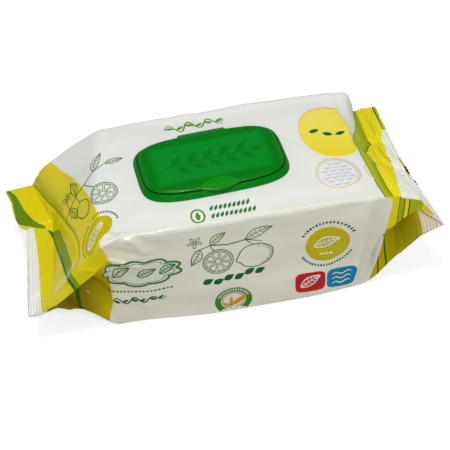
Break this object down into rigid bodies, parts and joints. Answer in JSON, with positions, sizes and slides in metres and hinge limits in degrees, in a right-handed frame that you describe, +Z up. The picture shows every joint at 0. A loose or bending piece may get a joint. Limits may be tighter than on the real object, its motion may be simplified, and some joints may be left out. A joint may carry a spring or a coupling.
{
  "type": "wet wipes pack",
  "caption": "Sealed flow-wrap pack of folded wet wipes with crimped, tucked ends and a moulded flip-top dispenser lid on its top panel.",
  "frame": {"origin": "middle of the pack's flat bottom panel, where it rests on a table", "axes": "+X along the pack to its right end seal, +Y from the front panel to the back, +Z up through the dispenser lid"},
  "size_m": [0.2828, 0.1161, 0.0888],
  "materials": {
    "printed_film": "satin printed polypropylene film, white with yellow-green ends",
    "green_plastic": "semi-gloss moulded polypropylene, leaf green",
    "seal_label": "matt white film label"
  },
  "bodies": {
    "pack": {"film_pack": "printed_film", "lid_base": "green_plastic", "peel_seal": "seal_label"},
    "cover": {"lid_cover": "green_plastic"}
  },
  "joints": [
    {"name": "cover_hinge", "type": "hinge", "parent": "pack", "child": "cover", "pos_m": [-0.00944, 0.02677, 0.0869], "axis": [-0.9989, -0.0471, 0], "range_deg": [0, 170]}
  ]
}
